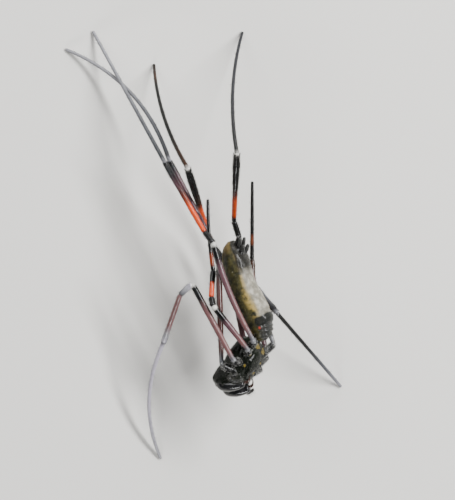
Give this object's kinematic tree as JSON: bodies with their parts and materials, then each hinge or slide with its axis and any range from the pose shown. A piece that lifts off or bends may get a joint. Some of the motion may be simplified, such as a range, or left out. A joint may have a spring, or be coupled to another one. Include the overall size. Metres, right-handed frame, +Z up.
{
  "type": "golden silk orb weaver spider model",
  "caption": "Life-size still model of a large orb-weaving spider, belly up, standing on the tips of its long legs as a display piece.",
  "frame": {"origin": "middle of the model's box, on the floor under the foot tips", "axes": "+Z up, away from the floor, with the belly up; -Y towards the head; +Y towards the spinnerets; the animal's left side towards -X"},
  "size_m": [0.0632, 0.0966, 0.0247],
  "materials": {
    "cephalothorax": "satin",
    "abdomen": "satin",
    "dark": "satin",
    "femur": "satin",
    "tibia": "satin",
    "foot": "satin",
    "eye": "glossy"
  },
  "bodies": {
    "root": {"cephalothorax": "cephalothorax", "abdomen": "abdomen", "pedicel": "dark", "spinnerets": "dark", "chelicera_left": "dark", "fang_left": "dark", "palp_left": "dark", "eye_front_middle_left": "eye", "eye_rear_middle_left": "eye", "eye_front_side_left": "eye", "eye_rear_side_left": "eye", "leg_left_1_coxa": "dark", "leg_left_1_femur": "femur", "leg_left_1_patella": "dark", "leg_left_1_tibia": "tibia", "leg_left_1_foot": "foot", "leg_left_2_coxa": "dark", "leg_left_2_femur": "femur", "leg_left_2_patella": "dark", "leg_left_2_tibia": "tibia", "leg_left_2_foot": "foot", "leg_left_3_coxa": "dark", "leg_left_3_femur": "femur", "leg_left_3_patella": "dark", "leg_left_3_tibia": "tibia", "leg_left_3_foot": "foot", "leg_left_4_coxa": "dark", "leg_left_4_femur": "femur", "leg_left_4_patella": "dark", "leg_left_4_tibia": "tibia", "leg_left_4_foot": "foot", "chelicera_right": "dark", "fang_right": "dark", "palp_right": "dark", "eye_front_middle_right": "eye", "eye_rear_middle_right": "eye", "eye_front_side_right": "eye", "eye_rear_side_right": "eye", "leg_right_1_coxa": "dark", "leg_right_1_femur": "femur", "leg_right_1_patella": "dark", "leg_right_1_tibia": "tibia", "leg_right_1_foot": "foot", "leg_right_2_coxa": "dark", "leg_right_2_femur": "femur", "leg_right_2_patella": "dark", "leg_right_2_tibia": "tibia", "leg_right_2_foot": "foot", "leg_right_3_coxa": "dark", "leg_right_3_femur": "femur", "leg_right_3_patella": "dark", "leg_right_3_tibia": "tibia", "leg_right_3_foot": "foot", "leg_right_4_coxa": "dark", "leg_right_4_femur": "femur", "leg_right_4_patella": "dark", "leg_right_4_tibia": "tibia", "leg_right_4_foot": "foot"}
  },
  "joints": []
}
